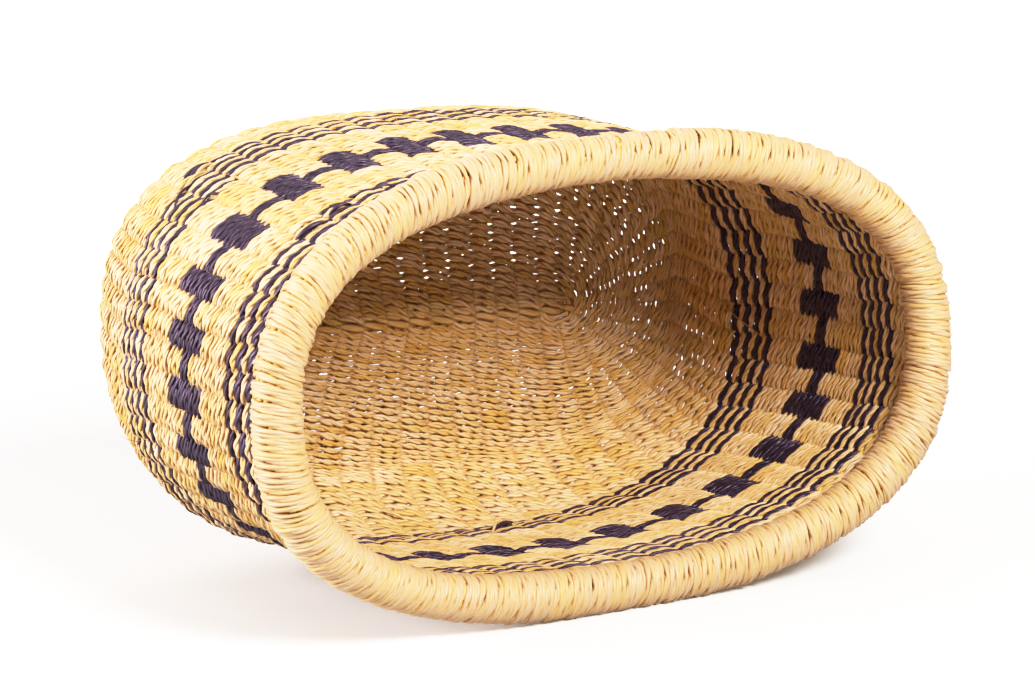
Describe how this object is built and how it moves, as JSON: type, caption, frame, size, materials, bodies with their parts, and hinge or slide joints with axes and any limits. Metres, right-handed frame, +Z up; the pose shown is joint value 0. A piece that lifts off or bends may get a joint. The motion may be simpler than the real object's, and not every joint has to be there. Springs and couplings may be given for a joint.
{
  "type": "bolga basket",
  "caption": "Oval hand-woven straw basket lying on its long side, with dyed stripes, a checked block band and a thick wrapped rim.",
  "frame": {"origin": "on the floor, under the middle of the part's bounding box", "axes": "+X along the mouth's long axis and the start line, -Y out of the mouth, +Z up from the floor the basket lies on"},
  "size_m": [0.33, 0.188, 0.1944],
  "materials": {
    "straw_natural": "dry twisted elephant grass, matt to faintly glossy, straw to golden brown",
    "straw_wrap": "split dry grass wound tight over the rim, pale straw with a faint sheen",
    "straw_core": "bundled dry grass and stake ends, covered by the wrapping",
    "grass_dyed": "twisted grass dyed blackish purple, faint sheen"
  },
  "bodies": {
    "root": {"start_line": "straw_natural", "base_weft": "straw_natural", "heel_weft": "straw_natural", "wall_weft_below_blocks": "straw_natural", "block_chain": "grass_dyed", "wall_weft_above_blocks": "straw_natural", "lip_weft": "straw_natural", "rim_core": "straw_core", "rim_wrap": "straw_wrap", "lower_stripe_1": "grass_dyed", "lower_stripe_2": "grass_dyed", "lower_stripe_3": "grass_dyed", "lower_stripe_4": "grass_dyed", "lower_spacer_1": "straw_natural", "lower_spacer_2": "straw_natural", "lower_spacer_3": "straw_natural", "upper_stripe_1": "grass_dyed", "upper_stripe_2": "grass_dyed", "upper_stripe_3": "grass_dyed", "upper_stripe_4": "grass_dyed", "upper_spacer_1": "straw_natural", "upper_spacer_2": "straw_natural", "upper_spacer_3": "straw_natural"}
  },
  "joints": []
}
